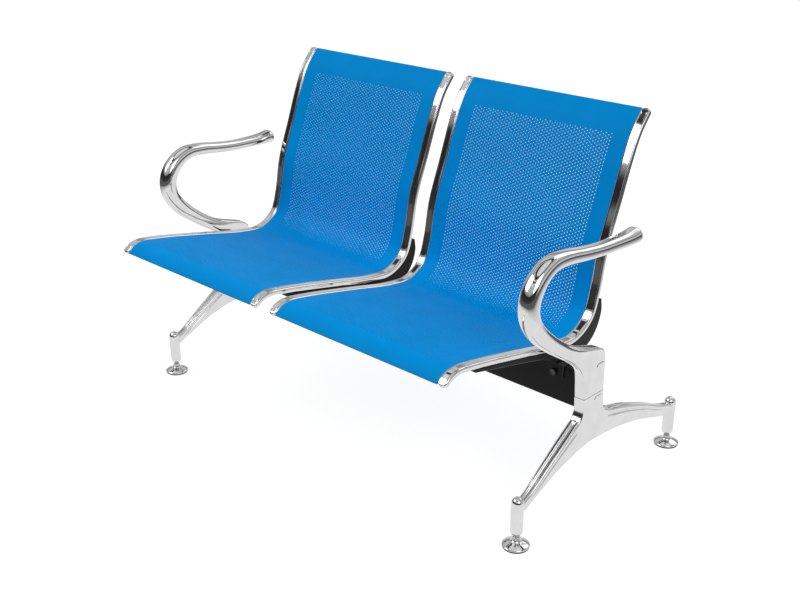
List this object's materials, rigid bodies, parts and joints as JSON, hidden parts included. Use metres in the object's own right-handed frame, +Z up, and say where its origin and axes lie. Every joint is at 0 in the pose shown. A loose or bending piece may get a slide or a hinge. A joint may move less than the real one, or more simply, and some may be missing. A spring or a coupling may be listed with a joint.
{
  "type": "beam-mounted bench seat",
  "caption": "Waiting-area bench: bent perforated sheet-metal seats in chromed side rails on a black beam, with cast loop armrests, arched legs and levelling feet.",
  "frame": {"origin": "on the floor, under the middle of the bench's bounding box", "axes": "+X along the beam, towards the right-hand seat as seen from the front; -Y towards the front; +Z up"},
  "size_m": [1.168, 0.7374, 0.7824],
  "materials": {
    "blue_powder_coat": "satin powder coat",
    "chrome_plate": "polished",
    "polished_casting": "mirror polished and plated",
    "black_powder_coat": "gloss powder coat",
    "zinc_steel": "zinc plated",
    "black_rubber": "matte"
  },
  "bodies": {
    "bench": {"seat_panel_left": "blue_powder_coat", "seat_panel_right": "blue_powder_coat", "side_rail_left_outer": "chrome_plate", "rail_plug_left_outer_front": "chrome_plate", "rail_plug_left_outer_top": "chrome_plate", "seat_bracket_left_outer": "black_powder_coat", "bracket_screw_left_outer_front": "zinc_steel", "bracket_screw_left_outer_rear": "zinc_steel", "beam_saddle_left_outer": "black_powder_coat", "saddle_bolt_left_outer": "zinc_steel", "side_rail_left_inner": "chrome_plate", "rail_plug_left_inner_front": "chrome_plate", "rail_plug_left_inner_top": "chrome_plate", "seat_bracket_left_inner": "black_powder_coat", "bracket_screw_left_inner_front": "zinc_steel", "bracket_screw_left_inner_rear": "zinc_steel", "beam_saddle_left_inner": "black_powder_coat", "saddle_bolt_left_inner": "zinc_steel", "side_rail_right_outer": "chrome_plate", "rail_plug_right_outer_front": "chrome_plate", "rail_plug_right_outer_top": "chrome_plate", "seat_bracket_right_outer": "black_powder_coat", "bracket_screw_right_outer_front": "zinc_steel", "bracket_screw_right_outer_rear": "zinc_steel", "beam_saddle_right_outer": "black_powder_coat", "saddle_bolt_right_outer": "zinc_steel", "side_rail_right_inner": "chrome_plate", "rail_plug_right_inner_front": "chrome_plate", "rail_plug_right_inner_top": "chrome_plate", "seat_bracket_right_inner": "black_powder_coat", "bracket_screw_right_inner_front": "zinc_steel", "bracket_screw_right_inner_rear": "zinc_steel", "beam_saddle_right_inner": "black_powder_coat", "saddle_bolt_right_inner": "zinc_steel", "beam": "black_powder_coat", "beam_bolt_left_outer": "zinc_steel", "beam_bolt_left_inner": "zinc_steel", "armrest_left": "polished_casting", "leg_left": "polished_casting", "arm_bolt_left_front": "zinc_steel", "arm_bolt_left_rear": "zinc_steel", "beam_bolt_right_outer": "zinc_steel", "beam_bolt_right_inner": "zinc_steel", "armrest_right": "polished_casting", "leg_right": "polished_casting", "arm_bolt_right_front": "zinc_steel", "arm_bolt_right_rear": "zinc_steel"},
    "pad_left_front": {"foot_pad_left_front": "chrome_plate", "foot_sole_left_front": "black_rubber"},
    "stud_left_front": {"foot_stud_left_front": "zinc_steel"},
    "pad_left_rear": {"foot_pad_left_rear": "chrome_plate", "foot_sole_left_rear": "black_rubber"},
    "stud_left_rear": {"foot_stud_left_rear": "zinc_steel"},
    "pad_right_front": {"foot_pad_right_front": "chrome_plate", "foot_sole_right_front": "black_rubber"},
    "stud_right_front": {"foot_stud_right_front": "zinc_steel"},
    "pad_right_rear": {"foot_pad_right_rear": "chrome_plate", "foot_sole_right_rear": "black_rubber"},
    "stud_right_rear": {"foot_stud_right_rear": "zinc_steel"}
  },
  "joints": [
    {"name": "foot_lift_left_front", "type": "slide", "parent": "bench", "child": "pad_left_front", "axis": [0, 0, 1], "range_m": [-0.012, 0.006]},
    {"name": "stud_turn_left_front", "type": "hinge", "parent": "pad_left_front", "child": "stud_left_front", "pos_m": [-0.556, -0.2115, 0.04], "axis": [0, 0, 1], "range_deg": [-2880, 1440]},
    {"name": "foot_lift_left_rear", "type": "slide", "parent": "bench", "child": "pad_left_rear", "axis": [0, 0, 1], "range_m": [-0.012, 0.006]},
    {"name": "stud_turn_left_rear", "type": "hinge", "parent": "pad_left_rear", "child": "stud_left_rear", "pos_m": [-0.556, 0.3407, 0.04], "axis": [0, 0, 1], "range_deg": [-2880, 1440]},
    {"name": "foot_lift_right_front", "type": "slide", "parent": "bench", "child": "pad_right_front", "axis": [0, 0, 1], "range_m": [-0.012, 0.006]},
    {"name": "stud_turn_right_front", "type": "hinge", "parent": "pad_right_front", "child": "stud_right_front", "pos_m": [0.556, -0.2115, 0.04], "axis": [0, 0, 1], "range_deg": [-2880, 1440]},
    {"name": "foot_lift_right_rear", "type": "slide", "parent": "bench", "child": "pad_right_rear", "axis": [0, 0, 1], "range_m": [-0.012, 0.006]},
    {"name": "stud_turn_right_rear", "type": "hinge", "parent": "pad_right_rear", "child": "stud_right_rear", "pos_m": [0.556, 0.3407, 0.04], "axis": [0, 0, 1], "range_deg": [-2880, 1440]}
  ],
  "couplings": [
    {"joint": "stud_turn_left_front", "follows": "foot_lift_left_front", "rad_per_m": 4188.8},
    {"joint": "stud_turn_left_rear", "follows": "foot_lift_left_rear", "rad_per_m": 4188.8},
    {"joint": "stud_turn_right_front", "follows": "foot_lift_right_front", "rad_per_m": 4188.8},
    {"joint": "stud_turn_right_rear", "follows": "foot_lift_right_rear", "rad_per_m": 4188.8}
  ]
}
